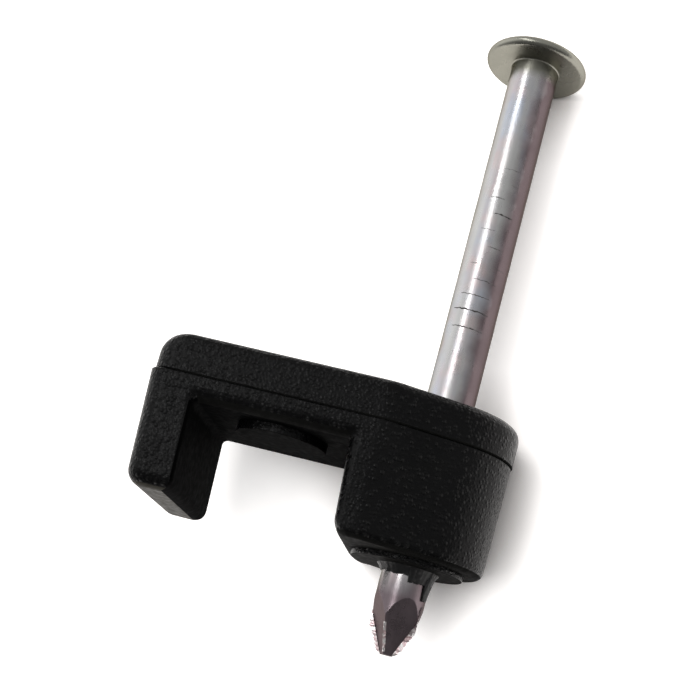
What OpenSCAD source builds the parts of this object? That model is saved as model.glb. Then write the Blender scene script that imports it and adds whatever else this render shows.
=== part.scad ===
// Nail-in cable clip: a moulded plastic saddle over one flat cable, with a steel nail held in its boss.
// It is drawn upright, with the nail along Z and the foot on z = 0, and then laid down as it comes to rest:
// on the flank between its back shoulder and its round end, and on the rim of the nail's head.

/* [Clip body] */
// Length from the leg's outer face to the round end of the boss
clip_l = 14.45; // [13:0.05:18]
// Depth of the body along the cable
clip_depth = 7.7; // [6.4:0.1:10]
// Height from the foot to the top
clip_h = 6.25; // [5.4:0.05:8]
// Thickness of the arm over the cable
arm_t = 2.55; // [2:0.05:3.2]
// Thickness of the leg, under the arm
leg_t = 2.02; // [1.6:0.02:3]
// Radius of the boss's round end, about the nail
boss_r = 3.05; // [2.6:0.05:3.6]
// From the nail's axis to the top of the boss's face on the cable side
boss_wall = 3.1; // [2.7:0.05:3.6]
// Radius of the shoulders where the sides turn in towards the round end
shoulder_r = 2; // [1.4:0.1:2.6]
// How far the shoulders stand back from the nail
shoulder_x = 2.2; // [1.6:0.1:3]

/* [Mould] */
// Thickness of the slab above the parting line
slab_t = 1.6; // [1.3:0.05:1.8]
// Step at the leg's end, where the lower half stands proud of the slab
leg_step = 0.14; // [0.02:0.01:0.25]
// Step at the boss's end, where the slab overhangs the lower half
boss_step = 0.05; // [0.02:0.01:0.15]
// Draft of the sides below the parting line, in degrees
side_draft = 1; // [0.5:0.25:2]
// Draft of the leg's outer face, in degrees
leg_draft = 3; // [1:0.25:4]
// Lean of the leg's inner face towards the boss, in degrees
leg_lean = 2; // [0:0.25:3]
// Draft of the boss's face on the cable side, in degrees
boss_draft = 3; // [1:0.25:4]
// Rounding of the top edges along the sides
top_round = 0.35; // [0.15:0.05:0.6]
// Rounding of the top edge over the leg
leg_top_round = 0.95; // [0.7:0.05:1.2]
// Rounding of the top edge round the boss
boss_top_round = 0.55; // [0.4:0.05:0.9]
// Rounding of the outer edges at the foot of the boss
foot_round = 0.35; // [0.2:0.05:0.6]
// Rounding of the outer edges at the foot of the leg
leg_foot_round = 0.65; // [0.3:0.05:0.65]
// Rounding of the upright corners at the leg's end
leg_corner_r = 0.8; // [0.8:0.05:1]
// Rounding of the upright corners where the cable passes the boss
boss_corner_r = 0.6; // [0.3:0.05:0.9]
// Rounding of the leg's upright inner corners
leg_inner_r = 0.3; // [0.15:0.05:0.5]
// Rounding of the arm's lower edges where the cable comes out
arm_round = 0.6; // [0.2:0.05:0.8]
// Rounding of the leg's foot beside the cable
leg_mouth_r = 0.55; // [0.3:0.05:0.6]
// Rounding of the boss's foot beside the cable
boss_mouth_r = 0.55; // [0.2:0.05:0.6]

/* [Ejector pads] */
// Diameter of the pad on the channel's ceiling
cable_pad_d = 3.7; // [2.5:0.1:4.4]
// Height of the pad on the channel's ceiling
cable_pad_h = 0.36; // [0.2:0.02:0.5]
// How far that pad lies from the channel's middle, towards the boss
cable_pad_x = 0.15; // [-0.6:0.05:0.6]
// How far that pad lies from the channel's middle, towards the front
cable_pad_y = 0.95; // [0:0.05:1.4]
// Diameter of the pad round the nail's exit
exit_pad_d = 4.55; // [3.6:0.05:4.7]
// Height of the pad round the nail's exit
exit_pad_h = 0.22; // [0.15:0.01:0.4]
// How far that pad lies off the nail, towards the leg
exit_pad_x = 0.08; // [0:0.02:0.2]

/* [Torn collar] */
// Wall of the collar that the point tore open
collar_t = 0.3; // [0.2:0.05:0.5]
// Wall left at the collar's torn edge
torn_t = 0.08; // [0.05:0.01:0.12]
// Longest reach of the collar, at its shred
collar_l = 1.35; // [0.8:0.05:1.5]

/* [Nail] */
// Diameter of the shank
nail_d = 2; // [1.6:0.1:2.4]
// Length of the nail under its head
nail_l = 25.25; // [22:0.05:35]
// Height of the head's underside above the clip
nail_out = 15.3; // [10:0.1:16]
// Diameter of the head
head_d = 4.25; // [3.4:0.05:5]
// Thickness of the head
head_t = 0.4; // [0.4:0.05:0.8]
// Lean of the head towards the side that it lies on, in degrees
head_lean = 5; // [0:0.5:8]
// Length of the four-sided point
point_l = 2.3; // [1.8:0.1:3]
// Width of the point's blunt end across its flats
point_end = 0.4; // [0.2:0.05:0.6]
// Turn of the point's flats about the nail, in degrees
point_turn = 25; // [0:1:45]

/* [Fit] */
// Gap between the nail and its bore, on the radius
bore_clear = 0.03; // [0.02:0.01:0.08]

/* [Hidden] */

$fn = 64;
// Sides of the discs that the rounded blocks are stretched over
disc_fn = 32;
// Thickness of those discs
disc_t = 0.01;
// How far a cut runs past the face that it opens
over = 1;
// How far a joined piece reaches into the body
root = 0.2;

half_depth = clip_depth / 2;
split_z = clip_h - slab_t;
ceiling_z = clip_h - arm_t;
leg_x = boss_r - clip_l;
channel_w = clip_l - boss_r - boss_wall - leg_t;
nail_r = nail_d / 2;
bore_r = nail_r + bore_clear;

// Steps of a rounded edge, as angles from its side to its flat
edge_steps = [0, 18, 36, 54, 72, 90];
// Torn pieces of the collar: where each starts, how far it turns, and its share of the longest reach
torn_pieces = [
    [150, 85, 0.22],
    [228, 60, 0.31],
    [280, 50, 0.5],
    [325, 17, 1],
    [338, 80, 0.33],
    [52, 104, 0.23]
];

// The nail's places along Z
head_z = clip_h + nail_out;
tip_z = head_z - nail_l;
rim_r = head_t / 2;
rim_l = head_d / 2 - rim_r;
// Middle of the rounded rim on the side where the leaning head is lowest
rim_y = rim_l * cos(head_lean) + rim_r * sin(head_lean);
rim_z = head_z + rim_r * cos(head_lean) - rim_l * sin(head_lean);

// At rest the round end's top edge and the head's rim lie on the same floor, which tilts the nail.
edge_y = boss_r - boss_top_round;
edge_z = clip_h - boss_top_round;
contact_y = edge_y - rim_y;
contact_z = rim_z - edge_z;
contact_l = sqrt(contact_y * contact_y + contact_z * contact_z);
rest_tilt = acos((rim_r - boss_top_round) / contact_l) - atan2(contact_z, contact_y);
floor_h = edge_y * cos(rest_tilt) + edge_z * sin(rest_tilt) + boss_top_round;

// The nail outweighs the clip, so the part then rolls until a back shoulder touches that floor too.
shoulder_y = half_depth - shoulder_r;
shoulder_l = sqrt(shoulder_x * shoulder_x + shoulder_y * shoulder_y);
round_gap = (boss_top_round - top_round) * (1 - sin(rest_tilt)) / cos(rest_tilt);
shoulder_drop = edge_y - shoulder_r + top_round + round_gap;
rest_roll = acos(shoulder_drop / shoulder_l) - atan2(shoulder_x, shoulder_y);

// The lying part's middle, so that its box is centred on the origin
corner_x = leg_x + leg_corner_r;
corner_y = half_depth - leg_corner_r;
lying_leg = corner_x * cos(rest_roll) - corner_y * sin(rest_roll) - leg_corner_r;
tip_corner_r = point_end / sqrt(2);
tip_y = max([for (k = [0:3]) tip_corner_r * sin(point_turn + rest_roll + 45 + 90 * k)]);
head_slant = head_lean + rest_tilt;
lying_head = head_z * cos(rest_tilt) + rim_l * sin(head_slant) + rim_r * cos(head_slant) + rim_r;
lying_tip = tip_z * cos(rest_tilt) - tip_y * sin(rest_tilt);
middle_x = (lying_leg + boss_r) / 2;
middle_y = (lying_head + lying_tip) / 2;

// How far an edge rounded by r has turned in at height z under a top face
function turned_in(z, top, r) = z <= top - r ? 0 : r - sqrt(max(0, r * r - pow(z - top + r, 2)));

// Disc that gives a hull one round edge: its other face is smaller and lies inside, above (1) or below (-1)
module edge_disc(r, inside) {
    mirror([0, 0, inside > 0 ? 0 : 1])
    cylinder(r1 = max(disc_t, r), r2 = max(disc_t, r) / 2, h = disc_t, $fn = disc_fn);
}

// Plan of the body: square corners at the leg's end x, shoulders, and a round end of radius r about the nail.
// Each disc is [x, y, radius, 1 at the leg's end, rounding of the top edge, rounding of the foot].
function plan(x, r) = [
    for (side = [-1, 1])
    [x + leg_corner_r, side * (half_depth - leg_corner_r), leg_corner_r, 1, leg_top_round, leg_foot_round],
    for (side = [-1, 1])
    [-shoulder_x, side * (half_depth - shoulder_r), shoulder_r, 0, top_round, foot_round],
    [0, 0, r, 0, boss_top_round, foot_round]
];

// Slab above the parting line, with its top edges rounded more over the leg and round the boss
module upper_half() {
    levels = [for (step = edge_steps) clip_h - leg_top_round * (1 - sin(step))];
    hull()
    for (disc = plan(leg_x + leg_step, boss_r)) {
        translate([disc[0], disc[1], split_z])
        edge_disc(disc[2], 1);
        for (z = concat([clip_h - disc[4]], [for (z = levels) if (z > clip_h - disc[4] + disc_t) z]))
        slab_disc(disc, z);
    }
}

// One disc of the slab at height z, drawn in by its own rounding and, at the leg's end, by that of the sides
module slab_disc(disc, z) {
    drawn_in = turned_in(z, clip_h, disc[4]);
    side_in = disc[3] > 0 ? turned_in(z, clip_h, top_round) : drawn_in;
    translate([disc[0] + drawn_in - side_in, disc[1], z])
    edge_disc(disc[2] - side_in, -1);
}

// Block below the parting line, before the cable's channel is cut: drafted, and rounded at the foot
module lower_half() {
    difference() {
        hull()
        for (disc = plan(leg_x, boss_r - boss_step)) {
            translate([disc[0], disc[1], split_z])
            edge_disc(disc[2], -1);
            for (step = edge_steps)
            foot_disc(disc, (disc[5] + disc_t) * (1 - sin(step)) - disc_t, disc[5] * (1 - cos(step)));
        }
        translate([0, 0, -over / 2])
        cube([2 * clip_l, 2 * clip_depth, over], center = true);
    }
}

// One disc of the lower block at height z, drawn in by the drafts and by the foot's rounding
module foot_disc(disc, z, rounded_in) {
    translate([disc[0] + disc[3] * (leg_pull(z) - side_pull(z)), disc[1], z])
    edge_disc(disc[2] - side_pull(z) - rounded_in, 1);
}

// How far the draft has drawn a side, or the leg's outer face, in at height z
function side_pull(z) = (split_z - z) * tan(side_draft);
function leg_pull(z) = (split_z - z) * tan(leg_draft);

// What a rounding of radius r takes off a square corner at the origin, in the first quadrant
module corner_waste(r) {
    difference() {
        translate([-over, -over])
        square(r + over);
        translate([r, r])
        circle(r);
        translate([r, -2 * over])
        square(4 * over);
        translate([-2 * over, r])
        square(4 * over);
    }
}

// Space for the cable: a leaning face on the leg, a drafted one on the boss, and rounded edges all round
module cable_channel() {
    leg_face = -boss_wall - channel_w;
    leg_mouth = leg_face + ceiling_z * tan(leg_lean);
    boss_mouth = ceiling_z * tan(boss_draft) - boss_wall;
    intersection() {
        union() {
            translate([leg_face, 0, ceiling_z])
            mirror([1, 0, 0])
            rotate([0, leg_lean, 0])
            channel_side(leg_inner_r);
            translate([-boss_wall, 0, ceiling_z])
            rotate([0, -boss_draft, 0])
            channel_side(boss_corner_r);
        }
        ceiling_cut();
    }
    rotate([90, 0, 0])
    linear_extrude(clip_depth + 2 * over, center = true) {
        translate([boss_mouth, 0])
        corner_waste(boss_mouth_r);
        translate([leg_mouth, 0])
        mirror([1, 0, 0])
        corner_waste(leg_mouth_r);
    }
}

// All that lies under the channel's ceiling, which turns up to the front and the back
module ceiling_cut() {
    translate([-clip_l, 0, ceiling_z])
    rotate([90, 0, 90])
    linear_extrude(clip_l) {
        translate([-clip_depth, -clip_h])
        square([2 * clip_depth, clip_h]);
        for (side = [0, 1])
        mirror([side, 0])
        translate([side_pull(ceiling_z) - half_depth, 0])
        corner_waste(arm_round);
    }
}

// One side of the channel, its face on x = 0, with upright corners of radius r at the front and the back
module channel_side(r) {
    translate([0, 0, -clip_h])
    linear_extrude(clip_h + over) {
        translate([-channel_w / 2 - root, -half_depth - over])
        square([channel_w / 2 + root, clip_depth + 2 * over]);
        for (side = [0, 1])
        mirror([0, side, 0])
        translate([0, -half_depth])
        corner_waste(r);
    }
}

// Raised mark of an ejector pin on the channel's ceiling
module cable_pad() {
    translate([cable_pad_x - boss_wall - channel_w / 2, -cable_pad_y, ceiling_z - cable_pad_h])
    cylinder(d = cable_pad_d, h = cable_pad_h + root);
}

// Raised pad round the nail's exit, which seats on the wall
module exit_pad() {
    translate([-exit_pad_x, 0, -exit_pad_h])
    cylinder(d = exit_pad_d, h = exit_pad_h + root);
}

// Ragged collar that the nail's point tore out of the boss
module torn_collar() {
    for (piece = torn_pieces)
    rotate([0, 0, piece[0]])
    rotate_extrude(angle = piece[1])
    polygon([
        [nail_r - torn_t, -exit_pad_h + root],
        [bore_r + collar_t, -exit_pad_h + root],
        [bore_r + collar_t, -exit_pad_h],
        [bore_r + torn_t, -exit_pad_h - collar_l * piece[2]],
        [nail_r - torn_t, -exit_pad_h - collar_l * piece[2]]
    ]);
}

// Lays an upright piece down as the clip rests: the nail's head towards +Y, the clip's front up
module laid_down() {
    translate([-middle_x, -middle_y, floor_h])
    rotate([-90 - rest_tilt, 0, 0])
    rotate([0, 0, rest_roll])
    children();
}

// Moulded saddle with its leg, arm and boss in one piece
module clip_body() {
    color("#1d1d1f")
    laid_down()
    difference() {
        union() {
            difference() {
                union() {
                    upper_half();
                    lower_half();
                }
                cable_channel();
            }
            cable_pad();
            exit_pad();
            torn_collar();
        }
        translate([0, 0, tip_z])
        cylinder(r = bore_r, h = clip_h - tip_z + over);
    }
}

// Round steel nail: flat head with a rounded rim, plain shank and four-sided point
module nail() {
    color("#b8bbc0")
    laid_down()
    difference() {
        union() {
            translate([0, 0, tip_z])
            cylinder(r = nail_r, h = nail_l + rim_r);
            nail_head();
        }
        nail_point_waste();
    }
}

// Head with a rounded rim, which the heading blow left leaning
module nail_head() {
    translate([0, 0, head_z])
    rotate(head_lean, [-cos(rest_roll), sin(rest_roll), 0])
    rotate_extrude() {
        square([rim_l, head_t]);
        translate([rim_l, rim_r])
        circle(rim_r);
    }
}

// What the four nipping blades took off the shank's end
module nail_point_waste() {
    point_slope = atan2(nail_r - point_end / 2, point_l);
    for (k = [0:3])
    rotate([0, 0, point_turn + 90 * k])
    translate([point_end / 2, 0, tip_z])
    rotate([0, point_slope, 0])
    translate([0, -nail_d, -point_l])
    cube([nail_d, 2 * nail_d, 3 * point_l]);
}

clip_body();
nail();
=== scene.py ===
"""Nail-in cable clip: a moulded black saddle with a plated steel nail part-way through its boss.

The pieces are modelled upright, in millimetres, with the nail along Z and the clip's foot on z = 0, and are then laid
down as the clip comes to rest: on the flank of its round end and on the rim of the nail's head.
"""
import logging
import random
from dataclasses import dataclass
from enum import Enum
from math import acos, atan2, cos, hypot, pi, radians, sin, sqrt, tan
from typing import Any, Iterable, Sequence

import bmesh
import bpy
from bpy.types import Material, Node, NodeSocket, NodeTree, Object
from mathutils import Matrix, Vector, noise


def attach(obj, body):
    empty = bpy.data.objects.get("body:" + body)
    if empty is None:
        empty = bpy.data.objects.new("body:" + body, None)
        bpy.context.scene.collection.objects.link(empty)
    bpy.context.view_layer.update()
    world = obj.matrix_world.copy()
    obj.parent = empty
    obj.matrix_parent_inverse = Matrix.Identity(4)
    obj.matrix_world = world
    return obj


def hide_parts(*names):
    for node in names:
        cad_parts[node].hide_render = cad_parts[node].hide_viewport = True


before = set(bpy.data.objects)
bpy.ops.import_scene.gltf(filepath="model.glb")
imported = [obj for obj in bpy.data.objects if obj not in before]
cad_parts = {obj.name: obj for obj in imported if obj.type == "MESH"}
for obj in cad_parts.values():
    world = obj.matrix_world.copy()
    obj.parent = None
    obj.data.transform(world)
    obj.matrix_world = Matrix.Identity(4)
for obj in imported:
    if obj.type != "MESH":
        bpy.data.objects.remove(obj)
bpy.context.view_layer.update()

LOG = logging.getLogger("cable_clip")
MM = 0.001
SAME_POINT = 1e-5
FLAT_WEIGHT = 90
WHITE = (1.0, 1.0, 1.0, 1.0)
MIX_FACTOR, MIX_FIRST, MIX_SECOND, MIX_RESULT = 0, 6, 7, 2
Point = tuple[float, float, float]
Colour = tuple[float, float, float]


class Skin(Enum):
    """Surface of the mould that a face of the clip was formed by, as its material slot; the core's slot is darkened as
    painted shade inside the channel, and one slot is a lighter black that paints a sheen on the leg's foot.
    """

    SPARK = 0
    POLISHED = 1
    CORE_SHADED = 2
    PAINTED_SHEEN = 3


class Wire:
    """A node's output socket that takes part in Python expressions."""

    def __init__(self, board: "NodeBoard", socket: NodeSocket) -> None:
        """Keeps the socket and the board that its expressions add nodes to."""
        self.board = board
        self.socket = socket

    def _math(self, operation: str, first: Any, second: Any) -> "Wire":
        """Adds one Math node and returns its value."""
        return self.board.add("ShaderNodeMath", {"operation": operation}, {0: first, 1: second}).wire("Value")

    def __add__(self, other: Any) -> "Wire":
        """Sum."""
        return self._math("ADD", self, other)

    def __sub__(self, other: Any) -> "Wire":
        """Difference."""
        return self._math("SUBTRACT", self, other)

    def __mul__(self, other: Any) -> "Wire":
        """Product."""
        return self._math("MULTIPLY", self, other)

    def at_least(self, other: Any) -> "Wire":
        """Larger of the two."""
        return self._math("MAXIMUM", self, other)

    def ramp(self, low: float, high: float, out_low: float = 0.0, out_high: float = 1.0) -> "Wire":
        """Maps one span of values onto another and stops at its ends.

        Args:
            low: Value that gives out_low.
            high: Value that gives out_high.
            out_low: Result at and below low.
            out_high: Result at and above high.

        Returns:
            The mapped value.
        """
        inputs = {"Value": self, "From Min": low, "From Max": high, "To Min": out_low, "To Max": out_high}
        return self.board.add("ShaderNodeMapRange", {"clamp": True}, inputs).wire("Result")


class Placed:
    """A node on a board, with its outputs as wires."""

    def __init__(self, board: "NodeBoard", node: Node) -> None:
        """Keeps the node and its board."""
        self.board = board
        self.node = node

    def wire(self, output: str | int) -> Wire:
        """Returns one output as a wire."""
        return Wire(self.board, self.node.outputs[output])


class NodeBoard:
    """A node tree that is filled by one method."""

    def __init__(self, tree: NodeTree) -> None:
        """Empties the tree."""
        self.tree = tree
        tree.nodes.clear()

    def add(self, kind: str, settings: dict[str, Any] | None = None, inputs: dict[Any, Any] | None = None) -> Placed:
        """Adds a node.

        Args:
            kind: The node's type name.
            settings: Properties that are set first.
            inputs: Values or wires for its sockets, by name or number.

        Returns:
            The placed node.
        """
        node = self.tree.nodes.new(kind)
        for key, value in (settings or {}).items():
            setattr(node, key, value)
        for key, value in (inputs or {}).items():
            if isinstance(value, Wire):
                self.tree.links.new(value.socket, node.inputs[key])
            else:
                node.inputs[key].default_value = value
        return Placed(self, node)

    def blend(self, factor: Wire, first: Any, second: Any) -> Wire:
        """Mixes two colours.

        Args:
            factor: Share of the second.
            first: A wire or a plain colour.
            second: A wire or a plain colour.

        Returns:
            The mixed colour.
        """
        inputs = {MIX_FACTOR: factor}
        for socket, colour in ((MIX_FIRST, first), (MIX_SECOND, second)):
            inputs[socket] = colour if isinstance(colour, Wire) else (*colour, 1.0)
        return self.add("ShaderNodeMix", {"data_type": "RGBA"}, inputs).wire(MIX_RESULT)

    def bump(self, height: Wire, depth_mm: float) -> Wire:
        """Turns a pattern of heights, so many millimetres deep, into the surface's normal."""
        inputs = {"Height": height, "Distance": depth_mm * MM, "Strength": 1.0}
        return self.add("ShaderNodeBump", None, inputs).wire("Normal")

    def place_mm(self, stretch: Point = (1.0, 1.0, 1.0), turn_x: float = 0.0) -> Wire:
        """Gives the place on the object in millimetres.

        Args:
            stretch: Factor along each axis, after the turn.
            turn_x: Turn about X, in radians, that lines the pattern up with a lying piece.

        Returns:
            The vector to read patterns at.
        """
        place = self.add("ShaderNodeTexCoord").wire("Object")
        scale = tuple(s / MM for s in stretch)
        inputs = {"Vector": place, "Rotation": (turn_x, 0.0, 0.0)}
        turned = self.add("ShaderNodeMapping", {"vector_type": "POINT"}, inputs).wire("Vector")
        return self.add("ShaderNodeVectorMath", {"operation": "MULTIPLY"}, {0: turned, 1: scale}).wire("Vector")

    def speckle(self, place: Wire, per_mm: float, detail: float = 2.0, rough: float = 0.5) -> Wire:
        """Reads a noise of so many grains to the millimetre."""
        inputs = {"Vector": place, "Scale": per_mm, "Detail": detail, "Roughness": rough}
        return self.add("ShaderNodeTexNoise", {"noise_dimensions": "3D"}, inputs).wire("Fac")

    def grains(self, place: Wire, per_mm: float) -> tuple[Wire, Wire]:
        """Reads a cell pattern: the distance to the nearest grain, and that grain's own chance."""
        node = self.add("ShaderNodeTexVoronoi", {"feature": "F1"}, {"Vector": place, "Scale": per_mm})
        return node.wire("Distance"), node.wire("Color")


def new_material(name: str) -> tuple[Material, NodeBoard]:
    """Makes an empty node material.

    Args:
        name: The material's name.

    Returns:
        The material and the board of its tree.
    """
    material = bpy.data.materials.new(name)
    material.use_nodes = True
    return material, NodeBoard(material.node_tree)


def close_surface(board: NodeBoard, inputs: dict[str, Any]) -> None:
    """Ends a material in a Principled surface with these inputs."""
    surface = board.add("ShaderNodeBsdfPrincipled", None, inputs)
    board.add("ShaderNodeOutputMaterial", None, {"Surface": surface.wire("BSDF")})


@dataclass(frozen=True)
class MouldedPlastic:
    """Black plastic as a mould's skin leaves it."""

    name: str
    dark: Colour
    light: Colour
    # Colour of the grains' tips, paler than the rest: a painted glint.
    tip: Colour
    roughness: float
    specular: float
    grain_per_mm: float
    grain_mm: float
    drift_per_mm: float = 0.55
    fine_share: float = 0.5

    def material(self) -> Material:
        """Builds the finish: scattered grains whose paler tips are painted glints, uneven gloss and a slight drift of
        tone.

        Returns:
            The material.
        """
        material, board = new_material(self.name)
        place = board.place_mm()
        drift = board.speckle(place, self.drift_per_mm, 3.0).ramp(0.35, 0.68)
        fine = board.speckle(place, self.grain_per_mm * 1.7, 2.0, 0.6)
        near, chance = board.grains(place, self.grain_per_mm)
        grain = near.ramp(0.1, 0.6, 1.0, 0.0) * chance.ramp(0.2, 0.7)
        gloss = board.speckle(place, self.grain_per_mm * 0.8, 2.0).ramp(0.3, 0.7, -0.1, 0.1)
        close_surface(board, {
            # The grains' tips take the paler tip colour, which paints glints into the base colour.
            "Base Color": board.blend(grain, board.blend(drift, self.dark, self.light), self.tip),
            "Roughness": gloss + self.roughness,
            "Specular IOR Level": self.specular,
            "Normal": board.bump(grain + fine * self.fine_share, self.grain_mm),
        })
        return material


SPARK_BLACK = MouldedPlastic(
    "spark_black", (0.001, 0.001, 0.0011), (0.002, 0.002, 0.0021), (0.004, 0.004, 0.004),
    roughness=0.29, specular=0.1, grain_per_mm=6.5, grain_mm=0.032,
)
SMOOTH_BLACK = MouldedPlastic(
    "smooth_black", (0.004, 0.004, 0.0038), (0.006, 0.006, 0.0056), (0.007, 0.007, 0.0065),
    roughness=0.6, specular=0.009, grain_per_mm=5.0, grain_mm=0.003,
)
# Smooth skin of the mould's core, made darker and nearly without reflection: painted shade on the faces inside the
# channel.
CORE_SHADED_BLACK = MouldedPlastic(
    "core_shaded_black", (0.001, 0.001, 0.0011), (0.0015, 0.0015, 0.0016), (0.002, 0.002, 0.0021),
    roughness=0.7, specular=0.006, grain_per_mm=5.0, grain_mm=0.001,
)
# Lighter, warmer black for the leg's foot: a painted sheen standing in for the light that face catches from the floor.
PAINTED_SHEEN_BLACK = MouldedPlastic(
    "painted_sheen_black", (0.02, 0.018, 0.013), (0.036, 0.033, 0.024), (0.042, 0.038, 0.029),
    roughness=0.55, specular=0.085, grain_per_mm=5.0, grain_mm=0.01,
)
TORN_BLACK = MouldedPlastic(
    "torn_black", (0.003, 0.003, 0.0032), (0.008, 0.008, 0.0082), (0.012, 0.012, 0.012),
    roughness=0.45, specular=0.25, grain_per_mm=6.0, grain_mm=0.02,
)


@dataclass(frozen=True)
class ZincPlate:
    """Bright zinc on drawn wire, with a film olive on the head; its dark pinkish right side and darker olive left edge
    are painted reflections, and its purplish point is painted shade over a purple tint.
    """

    name: str
    tilt: float
    axis_x: float
    grey: Colour = (0.41, 0.41, 0.405)
    blue: Colour = (0.35, 0.375, 0.43)
    pink: Colour = (0.43, 0.355, 0.36)
    stain_and_shade: Colour = (0.125, 0.098, 0.104)
    olive: Colour = (0.26, 0.256, 0.222)
    purple: Colour = (0.15, 0.122, 0.132)
    rim: Colour = (0.45, 0.44, 0.41)
    olive_from: float = 11.6
    olive_fade: float = 0.4
    # Where along Y the purplish painted shade of the point begins, and over how much it fades in.
    purple_shade_from: float = -9.9
    purple_shade_fade: float = 0.5
    drawn_out: float = 0.035
    roughness: float = 0.24
    streak_mm: float = 0.0035

    def _film(self, board: NodeBoard, colour: Wire) -> Wire:
        """Lays the passivation's coloured film over the bare plating's colour, with painted darker reflections on the
        right side and the left edge and painted shade at the point.

        Args:
            board: The material's board.
            colour: Colour of the plating.

        Returns:
            The colour with the film.
        """
        place = board.place_mm()
        split = board.add("ShaderNodeSeparateXYZ", None, {"Vector": place})
        drift = board.speckle(place, 0.7, 3.0) * 0.5
        # Right side: a pinkish tint darkened as a painted reflection of the shaded floor and room beside the nail.
        side = (split.wire("X") - self.axis_x + drift).ramp(0.72, 1.1)
        # Left edge: a darker olive, a painted reflection of the floor on the left.
        edge = (split.wire("X") * -1.0 + self.axis_x + drift).ramp(0.9, 1.16)
        head = split.wire("Y").ramp(self.olive_from, self.olive_from + self.olive_fade)
        # Point and the shank below the boss: a purple tint darkened as painted shade, where the boss keeps the light
        # off.
        point = (split.wire("Y") + drift).ramp(self.purple_shade_from + self.purple_shade_fade, self.purple_shade_from - self.purple_shade_fade)
        colour = board.blend(edge, colour, self.olive)
        colour = board.blend(side, colour, self.stain_and_shade)
        colour = board.blend(head, colour, self.olive)
        return board.blend(point, colour, self.purple)

    def material(self) -> Material:
        """Builds the finish: streaks along the wire, soft tints and small dull patches.

        Returns:
            The material.
        """
        material, board = new_material(self.name)
        along = board.place_mm((1.0, self.drawn_out, 1.0), -self.tilt)
        evenly = board.place_mm()
        streaks = board.speckle(along, 16.0, 3.0, 0.6)
        patches = board.speckle(evenly, 1.1, 3.0, 0.55)
        blotch = board.speckle(evenly, 0.8, 2.0).ramp(0.42, 0.66)
        tinted = board.blend(blotch, self.blue, self.pink)
        colour = board.blend(board.speckle(along, 2.2, 2.0).ramp(0.38, 0.7), self.grey, tinted)
        relief = streaks * 0.7 + board.speckle(evenly, 5.0, 3.0) * 0.9
        close_surface(board, {
            "Base Color": self._film(board, colour),
            "Metallic": 1.0,
            "Specular Tint": (*self.rim, 1.0),
            "Roughness": patches.ramp(0.35, 0.72, -0.05, 0.12) + streaks * 0.08 + self.roughness,
            "Normal": board.bump(relief, self.streak_mm),
        })
        return material


@dataclass(frozen=True)
class WornMetal:
    """Metal without its plating's even skin: torn flash, or steel that a grip has bruised."""

    name: str
    base: Colour
    fleck: Colour
    fleck_per_mm: float
    fleck_span: tuple[float, float]
    metallic: float
    dull_per_mm: float
    dull_span: tuple[float, float]
    torn_mm: float = 0.0

    def material(self) -> Material:
        """Builds the finish: flecks on a base colour, uneven gloss and, where it is torn, a rough face.

        Returns:
            The material.
        """
        material, board = new_material(self.name)
        place = board.place_mm()
        flecks = board.speckle(place, self.fleck_per_mm).ramp(*self.fleck_span)
        inputs = {
            "Base Color": board.blend(flecks, self.base, self.fleck),
            "Metallic": self.metallic,
            "Roughness": board.speckle(place, self.dull_per_mm).ramp(0.3, 0.7, *self.dull_span),
        }
        if self.torn_mm:
            inputs["Normal"] = board.bump(board.speckle(place, 9.0, 3.0), self.torn_mm)
        close_surface(board, inputs)
        return material


TORN_ZINC = WornMetal(
    "torn_zinc", (0.78, 0.76, 0.75), (0.6, 0.46, 0.47), fleck_per_mm=4.0, fleck_span=(0.45, 0.6),
    metallic=1.0, dull_per_mm=6.0, dull_span=(0.2, 0.45), torn_mm=0.02,
)
BRUISED_STEEL = WornMetal(
    "bruised_steel", (0.045, 0.043, 0.042), (0.17, 0.16, 0.155), fleck_per_mm=7.0, fleck_span=(0.4, 0.7),
    metallic=0.7, dull_per_mm=12.0, dull_span=(0.45, 0.7),
)


def mesh_object(
    name: str, points: Sequence[Point], faces: Iterable[Sequence[int]], edges: Sequence[tuple[int, int]] = (),
) -> Object:
    """Makes a linked mesh object.

    Args:
        name: Name of the object and its mesh.
        points: Vertices.
        faces: Corner numbers of each face.
        edges: End numbers of each loose edge.

    Returns:
        The object.
    """
    mesh = bpy.data.meshes.new(name)
    mesh.from_pydata([tuple(p) for p in points], edges, [tuple(f) for f in faces])
    mesh.validate()
    made = bpy.data.objects.new(name, mesh)
    bpy.context.scene.collection.objects.link(made)
    return made


def face_outwards(made: Object) -> None:
    """Merges doubled points and turns all faces outwards.

    Args:
        made: The object whose mesh changes.
    """
    work = bmesh.new()
    work.from_mesh(made.data)
    bmesh.ops.remove_doubles(work, verts=work.verts, dist=SAME_POINT)
    bmesh.ops.recalc_face_normals(work, faces=work.faces)
    work.to_mesh(made.data)
    work.free()


def loft(name: str, rings: Sequence[Sequence[Point]], closed: bool = False) -> Object:
    """Joins rings of equally many points into a closed skin.

    Args:
        name: Name of the object.
        rings: Closed rings, from one end to the other.
        closed: Whether the last ring joins the first. If not, both ends get flat faces.

    Returns:
        The closed object.
    """
    count, total = len(rings[0]), len(rings)
    points = [p for ring in rings for p in ring]
    faces: list[Sequence[int]] = []
    for k in range(total if closed else total - 1):
        low, high = k * count, (k + 1) % total * count
        for i in range(count):
            j = (i + 1) % count
            faces.append((low + i, low + j, high + j, high + i))
    if not closed:
        faces.append(tuple(range(count))[::-1])
        faces.append(tuple(range((total - 1) * count, total * count)))
    made = mesh_object(name, points, faces)
    face_outwards(made)
    return made


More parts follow.
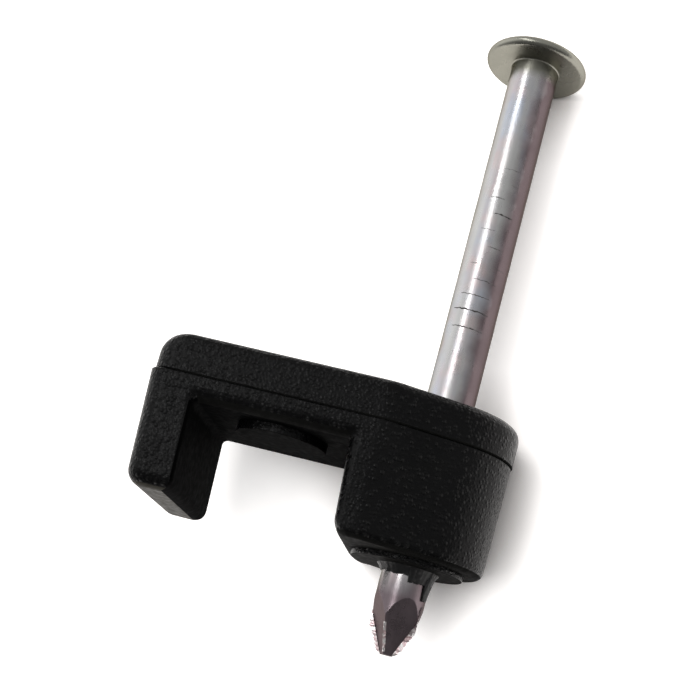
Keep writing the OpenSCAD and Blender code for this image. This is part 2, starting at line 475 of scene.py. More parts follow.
def turned(
    name: str, profile: Sequence[tuple[float, float]], sides: int, centre: Point = (0.0, 0.0, 0.0),
) -> Object:
    """Turns a profile of (radius, z) about an upright axis into a closed solid.

    Args:
        name: Name of the object.
        profile: Profile from one end to the other, off the axis.
        sides: Points round the axis.
        centre: Where the axis stands, and the height that z counts from.

    Returns:
        The turned object.
    """
    x, y, base = centre
    spin = [2 * pi * k / sides for k in range(sides)]
    return loft(name, [[(x + r * cos(a), y + r * sin(a), base + z) for a in spin] for r, z in profile])


def combine(base: Object, other: Object, operation: str) -> None:
    """Joins another solid to a base, or cuts it away, and removes the other.

    Args:
        base: The object that changes.
        other: The solid that is used up.
        operation: UNION or DIFFERENCE.
    """
    step = base.modifiers.new("combine", "BOOLEAN")
    step.operation = operation
    step.solver = "EXACT"
    step.object = other
    settle(base)
    bpy.data.objects.remove(other)


def settle(made: Object) -> None:
    """Turns an object's modifiers into its mesh.

    Args:
        made: The object, which keeps no modifier.
    """
    depsgraph = bpy.context.evaluated_depsgraph_get()
    mesh = bpy.data.meshes.new_from_object(made.evaluated_get(depsgraph))
    made.modifiers.clear()
    made.data = mesh


def shade(made: Object, angle: float) -> None:
    """Shades an object smooth and keeps its flats flat.

    Args:
        made: The object.
        angle: Angle in degrees from which an edge stays sharp.
    """
    made.data.shade_smooth()
    made.data.set_sharp_from_angle(angle=radians(angle))
    even = made.modifiers.new("even", "WEIGHTED_NORMAL")
    even.keep_sharp = True
    even.weight = FLAT_WEIGHT
    settle(made)


def on_circle(r: float, angle: float, z: float) -> Point:
    """Point at a radius and an angle, in radians, about the upright axis."""
    return (r * cos(angle), r * sin(angle), z)


def ring_noise(angle: float, reach: float, level: float) -> float:
    """Noise along a circle of this reach, which joins up after a full turn."""
    return noise.noise(Vector(on_circle(reach, angle, level)))


def quarter(steps: int) -> list[float]:
    """Angles of a quarter turn, in radians, in so many steps."""
    return [pi / 2 * k / steps for k in range(steps + 1)]


def arc(x: float, y: float, r: float, start: float, end: float, count: int) -> list[tuple[float, float]]:
    """Points on an arc, its ends included, with angles in radians."""
    span = [start + (end - start) * k / (count - 1) for k in range(count)]
    return [(x + r * cos(a), y + r * sin(a)) for a in span]


def turned_in(z: float, top: float, r: float) -> float:
    """How far an edge rounded by r has turned in at height z under a top face."""
    rise = z - top + r
    return 0.0 if rise <= 0 else r - sqrt(max(0.0, r * r - rise * rise))


@dataclass
class Nail:
    """Round steel nail with a flat head and a four-sided point."""

    shank_d: float = 2.0
    length: float = 25.25
    out: float = 15.3
    head_d: float = 4.25
    head_t: float = 0.4
    head_lean: float = 5.0
    point_l: float = 2.3
    point_end: float = 0.4
    point_turn: float = 25.0
    clip_h: float = 6.25
    neck_r: float = 0.06
    neck_l: float = 0.25
    nip: float = 0.012
    uneven: float = 0.006
    sides: int = 240
    point_rows: int = 84
    shank_rows: int = 90
    crease: float = 24.0

    @property
    def head_z(self) -> float:
        """Height of the head's underside."""
        return self.clip_h + self.out

    @property
    def tip_z(self) -> float:
        """Height of the blunt tip."""
        return self.head_z - self.length

    @property
    def shank_r(self) -> float:
        """Radius of the shank."""
        return self.shank_d / 2

    def flat_distance(self, z: float) -> float:
        """Distance of the point's flats from the axis at height z."""
        slope = (self.shank_r - self.point_end / 2) / self.point_l
        return self.point_end / 2 + (z - self.tip_z) * slope

    def point_radius(self, angle: float, z: float) -> float:
        """Radius of the four-sided point at an angle and a height."""
        turn = (angle - radians(self.point_turn) + pi / 4) % (pi / 2) - pi / 4
        return min(self.shank_r, self.flat_distance(z) / cos(turn))

    def ridge_angle(self, k: int) -> float:
        """Angle of one ridge of the point."""
        return radians(self.point_turn + 45 + 90 * k)

    @property
    def rim(self) -> tuple[float, float]:
        """Middle of the rounded rim where the leaning head is lowest.

        Returns:
            Its distance from the axis, and its height.
        """
        r, lean = self.head_t / 2, radians(self.head_lean)
        out = self.head_d / 2 - r
        return out * cos(lean) + r * sin(lean), self.head_z + r * cos(lean) - out * sin(lean)

    def build(self, lying_side: float) -> Object:
        """Builds the nail as one closed skin.

        Args:
            lying_side: Angle about the nail, in radians, of the side that the head leans to and lies on.

        Returns:
            The nail, upright.
        """
        base = Vector((0.0, 0.0, self.head_z))
        lean = Matrix.Rotation(radians(self.head_lean), 4, (-sin(lying_side), cos(lying_side), 0.0))
        spin = [self.ridge_angle(0) + 2 * pi * k / self.sides for k in range(self.sides)]
        rings: list[list[Point]] = []
        for k in range(self.point_rows + 1):
            z = self.tip_z + self.point_l * k / self.point_rows
            rings.append([self._nipped(a, z) for a in spin])
        bottom, top = self.tip_z + self.point_l, self.head_z - self.neck_l
        for k in range(1, self.shank_rows + 1):
            z = bottom + (top - bottom) * k / self.shank_rows
            rings.append([self._drawn(a, z) for a in spin])
        for r, z in self._head_profile():
            ring = [Vector(on_circle(r, a, z)) for a in spin]
            rings.append([tuple(base + lean @ (p - base)) for p in ring])
        made = loft("nail_skin", rings)
        shade(made, self.crease)
        return made

    def _nipped(self, angle: float, z: float) -> Point:
        """Point on the nipped end, with the slight waves that the blades leave."""
        r, wave = self.point_radius(angle, z), 0.5 + 0.5 * ring_noise(angle, 2.2, z * 2.6)
        return on_circle(r - self.nip * wave if r < self.shank_r and z > self.tip_z else r, angle, z)

    def _drawn(self, angle: float, z: float) -> Point:
        """Point on the drawn shank, which is a little uneven above the clip."""
        free = min(1.0, max(0.0, (z - self.clip_h) / 2))
        return on_circle(self.shank_r - free * self.uneven * (1 + ring_noise(angle, 1.3, z * 0.8)), angle, z)

    def _head_profile(self) -> list[tuple[float, float]]:
        """Draws the neck, the head's underside, its round rim and its top.

        Returns:
            Radius and height of each point, from the neck up.
        """
        rim, base, fillet = self.head_t / 2, self.head_z, self.neck_r
        out, start = self.head_d / 2 - rim, self.shank_r + fillet
        neck = [(self.shank_r + fillet * (1 - cos(a)), base - fillet * (1 - sin(a))) for a in quarter(6)]
        under = [(start + (out - start) * share, base) for share in (0.02, 0.06, 0.35, 0.7, 0.96)]
        half_turn = [pi * k / 16 for k in range(17)]
        round_rim = [(out + rim * sin(a), base + rim - rim * cos(a)) for a in half_turn]
        top = [(out * share, base + self.head_t) for share in (0.9, 0.6, 0.3, 0.05)]
        return neck[1:] + under + round_rim + top


@dataclass(frozen=True)
class Fin:
    """One fin of flash: its ridge, its width, where it starts and ends above the tip, and how it leans."""

    ridge: int
    width: float
    low: float
    high: float
    lean: float


@dataclass
class PointFlash:
    """Ragged fins that the blades squeezed out along the point's ridges."""

    nail: Nail
    foot: float = 0.06
    spill: float = 0.05
    steps: int = 46
    crease: float = 30.0
    fins: tuple[Fin, ...] = (
        Fin(1, 0.3, 0.05, 1.7, 0.4),
        Fin(2, 0.1, 0.1, 1.2, -0.6),
        Fin(3, 0.42, 0.02, 2.15, -0.5),
    )
    seed: int = 5

    def build(self) -> Object:
        """Builds the fins as thin wedges on the ridges.

        Returns:
            The fins, upright.
        """
        rng = random.Random(self.seed)
        points: list[Point] = []
        faces: list[Sequence[int]] = []
        for fin in self.fins:
            self._add_fin(fin, rng, points, faces)
        made = mesh_object("point_flash", points, faces)
        face_outwards(made)
        shade(made, self.crease)
        return made

    def _add_fin(self, fin: Fin, rng: random.Random, points: list[Point], faces: list[Sequence[int]]) -> None:
        """Adds one fin's wedge to the lists.

        Args:
            fin: The fin.
            rng: Source of its ragged edge.
            points: Points of all fins.
            faces: Faces of all fins.
        """
        start = len(points)
        angle = self.nail.ridge_angle(fin.ridge)
        for i in range(self.steps + 1):
            share = i / self.steps
            z = self.nail.tip_z + fin.low + (fin.high - fin.low) * share
            ridge = self.nail.point_radius(angle, z)
            wave = 0.5 + 0.5 * noise.noise(Vector((fin.ridge * 3.0, 0.4, z * 3.2)))
            ragged = fin.width * (0.45 * wave + 0.25 + 0.3 * rng.random()) * sin(pi * share) ** 0.35
            reach = min(ridge + ragged, self.nail.shank_r + self.spill)
            side = self.foot / max(ridge, 0.2)
            sunk = ridge - 0.5 * self.foot
            points.append(on_circle(sunk, angle - side, z))
            points.append(on_circle(max(reach, ridge), angle + fin.lean * ragged, z))
            points.append(on_circle(sunk, angle + side, z))
        for i in range(self.steps):
            a, b = start + 3 * i, start + 3 * (i + 1)
            for j in range(3):
                n = (j + 1) % 3
                faces.append((a + j, a + n, b + n, b + j))
        faces.append((start, start + 1, start + 2))
        last = start + 3 * self.steps
        faces.append((last + 2, last + 1, last))


@dataclass(frozen=True)
class GripMark:
    """One bite of the gripping die: its height, where it starts, how far it turns and how deep it looks."""

    z: float
    start: float
    sweep: float
    weight: float


@dataclass
class GripMarks:
    """Marks across the shank, swept along their arcs by a node tree."""

    nail: Nail
    width: float = 0.034
    height: float = 0.011
    sunk: float = 0.006
    jitter: float = 0.017
    skew: float = 4.0
    marks: tuple[GripMark, ...] = (
        GripMark(16.65, 262, 40, 0.35),
        GripMark(15.98, 284, 34, 0.35),
        GripMark(15.35, 246, 34, 0.55),
        GripMark(14.65, 264, 46, 1.0),
        GripMark(13.95, 240, 36, 0.5),
        GripMark(13.2, 268, 42, 0.6),
        GripMark(12.45, 236, 22, 0.4),
        GripMark(12.4, 296, 30, 0.45),
        GripMark(11.75, 254, 60, 0.6),
        GripMark(11.1, 232, 76, 0.75),
        GripMark(10.45, 220, 92, 1.0),
        GripMark(9.7, 228, 79, 0.85),
        GripMark(14.6, 80, 50, 0.8),
        GripMark(13.25, 66, 44, 0.5),
        GripMark(11.8, 92, 60, 0.7),
        GripMark(10.5, 58, 74, 0.9),
    )
    seed: int = 3

    def build(self, stain_and_shade: Material) -> Object:
        """Sweeps every mark along its arc on the shank.

        Args:
            stain_and_shade: Finish of the marks.

        Returns:
            The marks as one plain mesh, upright.
        """
        made = self._paths()
        tree = self._sweep_tree(stain_and_shade)
        step = made.modifiers.new("sweep", "NODES")
        step.node_group = tree
        names = {item.name: item.identifier for item in tree.interface.items_tree if item.in_out == "INPUT"}
        step[names["Mark width"]] = self.width
        step[names["Mark height"]] = self.height
        settle(made)
        made.data.shade_smooth()
        return made

    def _paths(self) -> Object:
        """Draws the marks' middle lines on the shank.

        Returns:
            The lines as loose edges, with their weight as an attribute.
        """
        rng = random.Random(self.seed)
        points: list[Point] = []
        edges: list[tuple[int, int]] = []
        weights: list[float] = []
        slope = tan(radians(self.skew))
        for mark in self.marks:
            count = max(6, int(mark.sweep / 3))
            for i in range(count):
                share = i / (count - 1)
                angle = radians(mark.start + mark.sweep * share)
                rise = self.nail.shank_r * radians(mark.sweep) * (0.5 - share) * slope
                z = mark.z + rise + rng.uniform(-self.jitter, self.jitter)
                points.append(on_circle(self.nail.shank_r - self.sunk, angle, z))
                taper = sin(pi * (0.06 + 0.88 * share)) ** 0.5
                weights.append(mark.weight * rng.uniform(0.5, 1.2) * taper)
                if i:
                    edges.append((len(points) - 2, len(points) - 1))
        made = mesh_object("grip_marks", points, [], edges)
        made.data.attributes.new("weight", "FLOAT", "POINT").data.foreach_set("value", weights)
        return made

    def _sweep_tree(self, stain_and_shade: Material) -> NodeTree:
        """Builds the tree that sweeps a flat lens along each line.

        Args:
            stain_and_shade: Finish that the swept marks take.

        Returns:
            The tree, with the marks' width and height as named inputs.
        """
        tree = bpy.data.node_groups.new("grip_mark_sweep", "GeometryNodeTree")
        for name, way, kind in (
            ("Geometry", "INPUT", "Geometry"), ("Mark width", "INPUT", "Float"),
            ("Mark height", "INPUT", "Float"), ("Geometry", "OUTPUT", "Geometry"),
        ):
            tree.interface.new_socket(name, in_out=way, socket_type="NodeSocket" + kind)
        board = NodeBoard(tree)
        entry = board.add("NodeGroupInput")
        line = board.add("GeometryNodeMeshToCurve", None, {"Mesh": entry.wire("Geometry")}).wire("Curve")
        read = board.add("GeometryNodeInputNamedAttribute", {"data_type": "FLOAT"}, {"Name": "weight"})
        weight = read.wire("Attribute")
        sized = board.add("GeometryNodeSetCurveRadius", None, {"Curve": line, "Radius": weight}).wire("Curve")
        circle = {"Resolution": 8, "Radius": 1.0}
        ring = board.add("GeometryNodeCurvePrimitiveCircle", {"mode": "RADIUS"}, circle).wire("Curve")
        lens = board.add("ShaderNodeCombineXYZ", None, {
            "X": entry.wire("Mark height"), "Y": entry.wire("Mark width"), "Z": 1.0,
        }).wire("Vector")
        flat = board.add("GeometryNodeTransform", None, {"Geometry": ring, "Scale": lens}).wire("Geometry")
        swept = board.add("GeometryNodeCurveToMesh", None, {
            "Curve": sized, "Profile Curve": flat, "Scale": weight, "Fill Caps": True,
        }).wire("Mesh")
        whole = board.add("GeometryNodeRealizeInstances", None, {"Geometry": swept}).wire("Geometry")
        dressed = board.add("GeometryNodeSetMaterial", None, {"Geometry": whole, "Material": stain_and_shade}).wire("Geometry")
        board.add("NodeGroupOutput", None, {"Geometry": dressed})
        return tree


@dataclass
class ClipBody:
    """Moulded saddle: arm, leg and boss in one piece, in two halves that meet at a parting line."""

    length: float = 14.45
    depth: float = 7.7
    height: float = 6.25
    arm: float = 2.55
    leg: float = 2.02
    boss_r: float = 3.05
    boss_wall: float = 3.1
    shoulder_r: float = 2.0
    shoulder_x: float = 2.2
    slab: float = 1.6
    leg_step: float = 0.14
    boss_step: float = 0.05
    side_draft: float = 1.0
    leg_draft: float = 3.0
    leg_lean: float = 2.0
    boss_draft: float = 3.0
    top_round: float = 0.35
    leg_top_round: float = 0.95
    boss_top_round: float = 0.55
    foot_round: float = 0.35
    leg_foot_round: float = 0.65
    leg_corner_r: float = 0.8
    boss_corner_r: float = 0.6
    leg_inner_r: float = 0.3
    arm_round: float = 0.6
    leg_mouth_r: float = 0.55
    boss_mouth_r: float = 0.55
    boss_heel_r: float = 0.5
    boss_heel_y: float = 1.8
    leg_fillet: float = 0.3
    boss_fillet: float = 0.15
    seam: float = 0.05
    cable_pad_d: float = 3.7
    cable_pad_h: float = 0.36
    cable_pad_x: float = 0.15
    cable_pad_y: float = 0.95
    exit_pad_d: float = 4.55
    exit_pad_h: float = 0.22
    exit_pad_x: float = 0.08
    bore_r: float = 1.03
    pad_soft: float = 0.05
    pad_root: float = 0.15
    sides: int = 96
    crease: float = 28.0
    facing: float = 0.3
    core_shade_reach: float = 0.3
    core_shade_slack: float = 0.1
    leg_turn: float = 0.7
    flat_turn: float = 0.05
    foot_down: float = -0.8
    under_down: float = -0.6
    skins: tuple[MouldedPlastic, ...] = (SPARK_BLACK, SMOOTH_BLACK, CORE_SHADED_BLACK, PAINTED_SHEEN_BLACK)

    @property
    def half_depth(self) -> float:
        """Half of the depth along the cable."""
        return self.depth / 2

    @property
    def split_z(self) -> float:
        """Height of the parting line."""
        return self.height - self.slab

    @property
    def ceiling_z(self) -> float:
        """Height of the channel's ceiling."""
        return self.height - self.arm

    @property
    def leg_x(self) -> float:
        """Place of the leg's outer face."""
        return self.boss_r - self.length

    @property
    def leg_face(self) -> float:
        """Place of the leg's face on the cable side."""
        return self.leg_x + self.leg

    def outline(
        self, z: float, leg_x: float, corner_r: float, shoulder_r: float, nose_r: float, inset: float,
    ) -> list[Point]:
        """Draws the body's outline at one height.

        Args:
            z: The height.
            leg_x: Where the leg's end is.
            corner_r: Radius of the leg's corners.
            shoulder_r: Radius of the shoulders.
            nose_r: Radius of the round end.
            inset: How far the sides are drawn in.

        Returns:
            A ring of points, the same number at each height.
        """
        half = self.half_depth - inset
        sx, sy = -self.shoulder_x, self.half_depth - self.shoulder_r
        flank = atan2(sy, sx) - acos(max(-1.0, min(1.0, (nose_r - shoulder_r) / hypot(sx, sy))))
        back = arc(0, 0, nose_r, 0, flank, 26)
        back += arc(sx, sy, shoulder_r, flank, pi / 2, 14)
        back += arc(leg_x + corner_r, half - corner_r, corner_r, pi / 2, pi, 16)
        front = [(x, -y) for x, y in reversed(back[1:])]
        return [(x, y, z) for x, y in back + front]

    def lower_ring(self, z: float, seam: float = 0.0) -> list[Point]:
        """Draws the outline below the parting line.

        Args:
            z: The height.
            seam: How far the parting line's groove draws it in.

        Returns:
            The ring, drawn in by the drafts and the foot's roundings.
        """
        side = (self.split_z - z) * tan(radians(self.side_draft)) + seam
        end = (self.split_z - z) * tan(radians(self.leg_draft)) + seam
        leg_in = turned_in(-z, 0.0, self.leg_foot_round)
        boss_in = side + turned_in(-z, 0.0, self.foot_round)
        corner = max(0.02, self.leg_corner_r - side - leg_in)
        nose = self.boss_r - self.boss_step - boss_in
        return self.outline(z, self.leg_x + end + leg_in, corner, self.shoulder_r - boss_in, nose, side + leg_in)

    def upper_ring(self, z: float, seam: float = 0.0) -> list[Point]:
        """Draws the outline of the slab above the parting line.

        Args:
            z: The height.
            seam: How far the parting line's groove draws it in.

        Returns:
            The ring, drawn in by the top's roundings.
        """
        side = turned_in(z, self.height, self.top_round) + seam
        end = turned_in(z, self.height, self.leg_top_round) + seam
        nose = self.boss_r - turned_in(z, self.height, self.boss_top_round) - seam
        corner = max(0.05, self.leg_corner_r - side)
        return self.outline(z, self.leg_x + self.leg_step + end, corner, self.shoulder_r - side, nose, side)

    def blank(self) -> Object:
        """Builds the body before its channel and bore are cut, with the seam at the parting line.

        Returns:
            The blank, upright.
        """
        feet = [r * (1 - sin(a)) for r in (self.foot_round, self.leg_foot_round) for a in quarter(9)]
        feet += [self.split_z * share for share in (0.3, 0.6, 0.9)]
        rings = [self.lower_ring(z) for z in sorted({round(z, 4) for z in feet})]
        rings += [self.lower_ring(self.split_z - self.seam), self.lower_ring(self.split_z, self.seam)]
        rings += [self.upper_ring(self.split_z, self.seam), self.upper_ring(self.split_z + self.seam)]
        tops = [self.height - self.leg_top_round * (1 - sin(a)) for a in quarter(10)]
        tops += [self.height - self.top_round * (1 - sin(a)) for a in quarter(6)]
        rings += [self.upper_ring(z) for z in sorted(set(round(t, 5) for t in tops))]
        return loft("clip_skin", rings)

    def channel(self) -> Object:
        """Builds the space for the cable, which flares into the body's rounded edges.

        Returns:
            The solid to cut away.
        """
        reach = max(self.boss_corner_r, self.arm_round, self.leg_inner_r, self.boss_heel_y)
        flare = [self.half_depth - reach * (1 - sin(a)) for a in quarter(16)]
        places = [-self.half_depth - 1, *(-y for y in reversed(flare)), *flare, self.half_depth + 1]
        return loft("channel", [self._channel_section(y) for y in places])

    def _channel_section(self, y: float) -> list[Point]:
        """Draws the channel's section at one place along the cable.

        Args:
            y: The place.

        Returns:
            A ring of points, the same number at each place.
        """
        reach = min(abs(y), self.half_depth)
        leg = self.leg_face - turned_in(reach, self.half_depth, self.leg_inner_r)
        boss = turned_in(reach, self.half_depth, self.boss_corner_r) - self.boss_wall
        top = self.ceiling_z + turned_in(reach, self.half_depth, self.arm_round)
        leg_foot = leg + self.ceiling_z * tan(radians(self.leg_lean))
        boss_foot = boss + self.ceiling_z * tan(radians(self.boss_draft))
        path = [(leg_foot - self.leg_mouth_r, -1.0)]
        path += arc(leg_foot - self.leg_mouth_r, self.leg_mouth_r, self.leg_mouth_r, -pi / 2, 0, 12)
        path += arc(leg + self.leg_fillet, top - self.leg_fillet, self.leg_fillet, pi, pi / 2, 9)
        path += arc(boss - self.boss_fillet, top - self.boss_fillet, self.boss_fillet, pi / 2, 0, 6)
        heel_in = turned_in(reach, self.half_depth, self.boss_heel_y)
        heel = self.boss_mouth_r + self.boss_heel_r * heel_in / self.boss_heel_y
        path += arc(boss_foot + heel, heel, heel, pi, 1.5 * pi, 12)
        path += [(boss_foot + heel, -1.0)]
        return [(x, y, z) for x, z in path]

    def pad(self, name: str, diameter: float, height: float, place: Point) -> Object:
        """Builds one ejector pad with a softened edge.

        Args:
            name: Name of the pad.
            diameter: Its diameter.
            height: How far it stands down.
            place: Middle of its root.

        Returns:
            The pad, with its root sunk into the body.
        """
        soft = self.pad_soft
        edge = [(diameter / 2 - soft * (1 - cos(a)), -height + soft * (1 - sin(a))) for a in quarter(4)]
        return turned(name, [(diameter / 2, self.pad_root), *edge], self.sides, place)

    def build(self) -> Object:
        """Builds the whole body.

        Returns:
            The body, upright.
        """
        made = self.blank()
        combine(made, self.channel(), "DIFFERENCE")
        pad_x = self.cable_pad_x + (self.leg_face - self.boss_wall) / 2
        under_arm, at_exit = (pad_x, -self.cable_pad_y, self.ceiling_z), (-self.exit_pad_x, 0.0, 0.0)
        combine(made, self.pad("cable_pad", self.cable_pad_d, self.cable_pad_h, under_arm), "UNION")
        combine(made, self.pad("exit_pad", self.exit_pad_d, self.exit_pad_h, at_exit), "UNION")
        bore = turned("bore", [(self.bore_r, -2.0), (self.bore_r, self.height + 1)], self.sides)
        combine(made, bore, "DIFFERENCE")
        shade(made, self.crease)
        return made

    def dress(self, made: Object) -> None:
        """Gives each face the skin of the mould half that formed it, with painted shade inside the channel and a
        painted sheen on the leg's foot.

        Args:
            made: The body.
        """
        made.data.materials.clear()
        for skin in self.skins:
            made.data.materials.append(skin.material())
        for face in made.data.polygons:
            face.material_index = self._skin_of(face.center, face.normal).value

    def _skin_of(self, centre: Vector, normal: Vector) -> Skin:
        """Tells which skin formed a face.

        Args:
            centre: Middle of the face.
            normal: Its direction.

        Returns:
            The skin: core with painted shade in the channel, painted sheen on the leg's foot, polished on the
                undersides.
        """
        on_leg = normal.x > self.facing
        across = self.leg_face - self.core_shade_slack < centre.x < self.core_shade_reach - self.boss_wall
        inside = across and self.leg_mouth_r - self.core_shade_slack / 2 < centre.z < self.ceiling_z + self.core_shade_slack
        mouth = on_leg and centre.x < self.leg_face + self.core_shade_reach and centre.z < self.leg_mouth_r
        # Faces inside the channel and at the leg's mouth take the darker, barely reflecting core black: painted shade
        # in the recess.
        if mouth or inside and abs(normal.y) < (self.leg_turn if on_leg else self.flat_turn):
            return Skin.CORE_SHADED
        # The leg's downward foot faces take the lighter black, a painted sheen.
        if normal.z < self.foot_down and centre.x < self.leg_face:
            return Skin.PAINTED_SHEEN
        if normal.z < self.under_down and centre.x > self.leg_face:
            return Skin.POLISHED
        return Skin.SPARK


@dataclass
class TornCollar:
    """Ragged collar that the nail's point tore out of the boss, with one long shred."""

    nail: Nail
    pad_h: float = 0.22
    wall: float = 0.3
    torn: float = 0.06
    gap: float = 0.03
    longest: float = 1.35
    root: float = 0.06
    bulge: float = 0.035
    sides: int = 200
    rows: int = 7
    crease: float = 40.0
    pieces: tuple[tuple[float, float, float], ...] = (
        (150, 85, 0.22), (228, 60, 0.31), (280, 50, 0.5), (325, 17, 1.0), (338, 80, 0.33), (52, 104, 0.23),
    )

    def reach(self, angle: float) -> float:
        """Tells how far the ragged collar hangs down.

        Args:
            angle: Angle about the nail, in degrees.

        Returns:
            The length under the pad.
        """
        best = max((share for start, sweep, share in self.pieces if (angle - start) % 360 <= sweep), default=0.0)
        a = radians(angle)
        wave, fray = ring_noise(a, 5, 0.3), ring_noise(a, 22, 4.1)
        return self.longest * best * (0.84 + 0.1 * wave + 0.06 * fray)

    def build(self) -> Object:
        """Builds the collar as one closed ragged ring.

        Returns:
            The collar, upright.
        """
        inner = self.nail.shank_r + self.gap * 0.4
        outer = self.nail.shank_r + self.gap + self.wall
        sections: list[list[Point]] = []
        for k in range(self.sides):
            degrees = 360 * k / self.sides
            a, hang = radians(degrees), self.reach(degrees)
            section: list[Point] = []
            for i in range(self.rows + 1):
                share = i / self.rows
                wall = self.wall * (1 - share) ** 1.3 + self.torn * share
                bulge = self.bulge * ring_noise(a, 4, share * 3 + 9)
                z = -self.pad_h + self.root - (hang + self.root) * share
                section.append(on_circle(min(inner + wall + bulge * share, outer), a, z))
            section += [on_circle(inner, a, p[2]) for p in reversed(section)]
            sections.append(section)
        made = loft("torn_collar", sections, closed=True)
        shade(made, self.crease)
        return made


@dataclass(frozen=True)
class RestPose:
    """How the clip lies: tilted by its round end and the nail's head, and rolled onto its back shoulder."""

    clip: ClipBody
    nail: Nail

    @property
    def tilt(self) -> float:
        """Works out how the nail tilts against the floor.

        Returns:
            The tilt, in radians.
        """
        edge = self.clip.boss_top_round
        rim_y, rim_z = self.nail.rim
        across = self.clip.boss_r - edge - rim_y
        along = rim_z - (self.clip.height - edge)
        return acos((self.nail.head_t / 2 - edge) / hypot(across, along)) - atan2(along, across)

    @property
    def roll(self) -> float:
        """Works out how far the clip rolls about the nail.

        Returns:
            The roll, in radians.
        """
        clip, t = self.clip, self.tilt
        x, y = clip.shoulder_x, clip.half_depth - clip.shoulder_r
        gap = (clip.boss_top_round - clip.top_round) * (1 - sin(t)) / cos(t)
        drop = clip.boss_r - clip.boss_top_round - clip.shoulder_r + clip.top_round + gap
        return acos(drop / hypot(x, y)) - atan2(x, y)

    def matrix(self) -> Matrix:
        """Turns upright millimetres into lying metres.

        Returns:
            The matrix that lays a piece down.
        """
        clip, nail, t, roll = self.clip, self.nail, self.tilt, self.roll
        rim = nail.head_t / 2
        lift = (clip.boss_r - clip.boss_top_round) * cos(t) + (clip.height - clip.boss_top_round) * sin(t)
        lift += clip.boss_top_round
        corner = clip.leg_corner_r
        leg = (clip.leg_x + corner) * cos(roll) - (clip.half_depth - corner) * sin(roll) - corner
        tips = [nail.point_end / sqrt(2) * sin(nail.ridge_angle(k) + roll) for k in range(4)]
        slant = radians(nail.head_lean) + t
        head = nail.head_z * cos(t) + (nail.head_d / 2 - rim) * sin(slant) + rim * cos(slant) + rim
        tip = nail.tip_z * cos(t) - max(tips) * sin(t)
        move = Matrix.Translation((-(leg + clip.boss_r) / 2, -(head + tip) / 2, lift))
        turn = Matrix.Rotation(-pi / 2 - t, 4, "X") @ Matrix.Rotation(roll, 4, "Z")
        return Matrix.Scale(MM, 4) @ move @ turn

    @property
    def axis_x(self) -> float:
        """Place of the lying nail's axis along X, in millimetres."""
        return self.matrix().translation.x / MM

    def lay_down(self, made: Object) -> None:
        """Lays an upright piece down, with its place in its mesh."""
        made.data.transform(self.matrix())
        made.data.update()


@dataclass(frozen=True)
class Softbox:
    """Area lamp, placed in metres, that points at the middle of the floor."""

    name: str
    place: Point
    size: tuple[float, float]
    watts: float
    mirrored: bool

    def hang(self) -> None:
        """Hangs the lamp, which glossy surfaces show only where it is mirrored."""
        data = bpy.data.lights.new(self.name, "AREA")
        data.shape = "RECTANGLE"
        data.size, data.size_y = self.size
        data.energy = self.watts
        made = bpy.data.objects.new(self.name, data)
        made.visible_glossy = self.mirrored
        made.location = self.place
        made.rotation_euler = (Vector() - Vector(self.place)).to_track_quat("-Z", "Y").to_euler()
        bpy.context.scene.collection.objects.link(made)


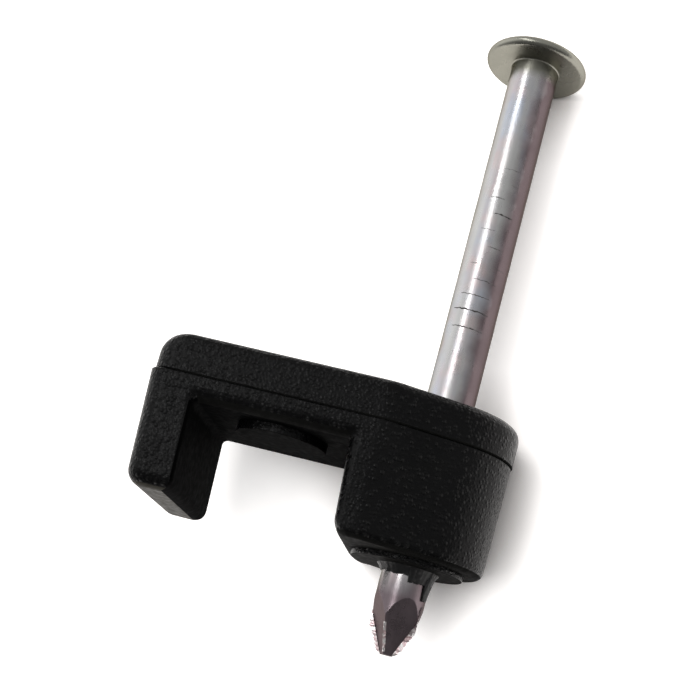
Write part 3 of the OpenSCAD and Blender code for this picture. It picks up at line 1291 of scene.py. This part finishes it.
@dataclass
class Studio:
    """Plain pale floor, a softbox for the shadows, a strip for the nail's highlight, and the photograph's camera."""

    eye: Point = (28.0851, -13.6268, 58.2795)
    right: Point = (0.88432, 0.23074, -0.40588)
    forward: Point = (-0.44204, 0.134, -0.88693)
    lens: float = 77.76
    sensor: float = 36.0
    shift_y: float = 0.15
    floor_size: float = 1.2
    floor_colour: Colour = (0.95, 0.91, 0.885)
    floor_lift: float = 0.58
    open_mm: float = 3.2
    open_span: tuple[float, float] = (0.45, 0.85)
    lamps: tuple[Softbox, ...] = (
        Softbox("overhead", (0.03, 0.0, 0.3), (0.3, 0.3), 0.82, mirrored=False),
        Softbox("strip", (-0.06, 0.1, 0.3), (0.045, 0.26), 0.27, mirrored=True),
    )

    def build(self) -> None:
        """Sets the whole stage up."""
        bpy.context.scene.view_settings.view_transform = "Standard"
        self.camera()
        self.floor()
        self.world()
        for lamp in self.lamps:
            lamp.hang()

    def camera(self) -> None:
        """Places the camera."""
        data = bpy.data.cameras.new("camera")
        data.lens = self.lens
        data.sensor_width = self.sensor
        data.shift_y = self.shift_y
        data.clip_start = MM
        made = bpy.data.objects.new("camera", data)
        right = Vector(self.right).normalized()
        back = -Vector(self.forward).normalized()
        up = back.cross(right)
        turn = Matrix((right, up, back)).transposed().to_4x4()
        made.matrix_world = Matrix.Translation(Vector(self.eye) * MM) @ turn
        bpy.context.scene.collection.objects.link(made)
        bpy.context.scene.camera = made

    def floor(self) -> None:
        """Lays the floor, white to the camera and pale to the light, with a white glow that fades where it is enclosed,
        which paints the soft shadows around the clip.
        """
        half = self.floor_size / 2
        corners = [(-half, -half, 0.0), (half, -half, 0.0), (half, half, 0.0), (-half, half, 0.0)]
        made = mesh_object("floor", corners, [(0, 1, 2, 3)])
        material, board = new_material("pale_floor")
        matte = board.add("ShaderNodeBsdfDiffuse", None, {"Color": (*self.floor_colour, 1.0)}).wire("BSDF")
        openness = board.add("ShaderNodeAmbientOcclusion", {"samples": 8}, {"Distance": self.open_mm * MM}).wire("AO")
        lift = board.add("ShaderNodeEmission", None, {"Color": WHITE, "Strength": self.floor_lift}).wire("Emission")
        path = board.add("ShaderNodeLightPath")
        seen = path.wire("Is Camera Ray")
        for ray in ("Is Glossy Ray", "Is Transmission Ray"):
            seen = seen.at_least(path.wire(ray))
        lit = board.add("ShaderNodeAddShader", None, {0: matte, 1: lift}).wire("Shader")
        # The glow is cut back by occlusion near the clip: a painted shadow on the floor.
        share = seen * openness.ramp(*self.open_span)
        both = board.add("ShaderNodeMixShader", None, {0: share, 1: matte, 2: lit}).wire("Shader")
        board.add("ShaderNodeOutputMaterial", None, {"Surface": both})
        made.data.materials.append(material)

    def world(self) -> None:
        """Lights the room evenly, brighter on the left than on the right, and shows white behind the floor."""
        world = bpy.data.worlds.new("studio")
        bpy.context.scene.world = world
        world.use_nodes = True
        board = NodeBoard(world.node_tree)
        direction = board.add("ShaderNodeTexCoord").wire("Generated")
        split = board.add("ShaderNodeSeparateXYZ", None, {"Vector": direction})
        left = split.wire("X").ramp(-0.85, -0.35, 1.6, 0.75)
        right = split.wire("X").ramp(-0.1, 0.5, 1.0, 0.85)
        front = split.wire("Y").ramp(-0.5, 0.0, 0.3, 1.0)
        mirrored = board.add("ShaderNodeLightPath").wire("Is Glossy Ray")
        side = left * right * front * mirrored.ramp(0.0, 1.0, 0.4, 1.0)
        room, white = (
            board.add("ShaderNodeBackground", None, {"Color": WHITE, "Strength": strength}).wire("Background")
            for strength in (side, 1.0)
        )
        seen = board.add("ShaderNodeLightPath").wire("Is Camera Ray")
        both = board.add("ShaderNodeMixShader", None, {0: seen, 1: room, 2: white}).wire("Shader")
        board.add("ShaderNodeOutputWorld", None, {"Surface": both})


def add_piece(made: Object, body: str, replaced: Sequence[str] = ()) -> None:
    """Hands a finished piece to the frame.

    Args:
        made: The piece, in its place.
        body: CAD body that it rides on.
        replaced: CAD nodes that it stands for.
    """
    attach(made, body)
    if replaced:
        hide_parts(*replaced)
    LOG.info("%s: %d faces on %s", made.name, len(made.data.polygons), body)


def main() -> None:
    """Builds and dresses every piece, then the studio."""
    logging.basicConfig(level=logging.INFO, format="%(name)s %(message)s")
    clip = ClipBody()
    nail = Nail(clip_h=clip.height)
    pose = RestPose(clip, nail)

    body = clip.build()
    clip.dress(body)
    collar = TornCollar(nail).build()
    collar.data.materials.append(TORN_BLACK.material())
    plate = ZincPlate("zinc_plate", pose.tilt, pose.axis_x).material()
    shank = nail.build(pi / 2 - pose.roll)
    shank.data.materials.append(plate)
    flash = PointFlash(nail).build()
    flash.data.materials.append(TORN_ZINC.material())
    marks = GripMarks(nail).build(BRUISED_STEEL.material())

    for made in (body, collar, shank, flash, marks):
        pose.lay_down(made)
    add_piece(body, "clip", ["clip_body"])
    add_piece(collar, "clip")
    add_piece(shank, "nail", ["nail"])
    add_piece(flash, "nail")
    add_piece(marks, "nail")
    Studio().build()


if __name__ == "__main__":
    main()
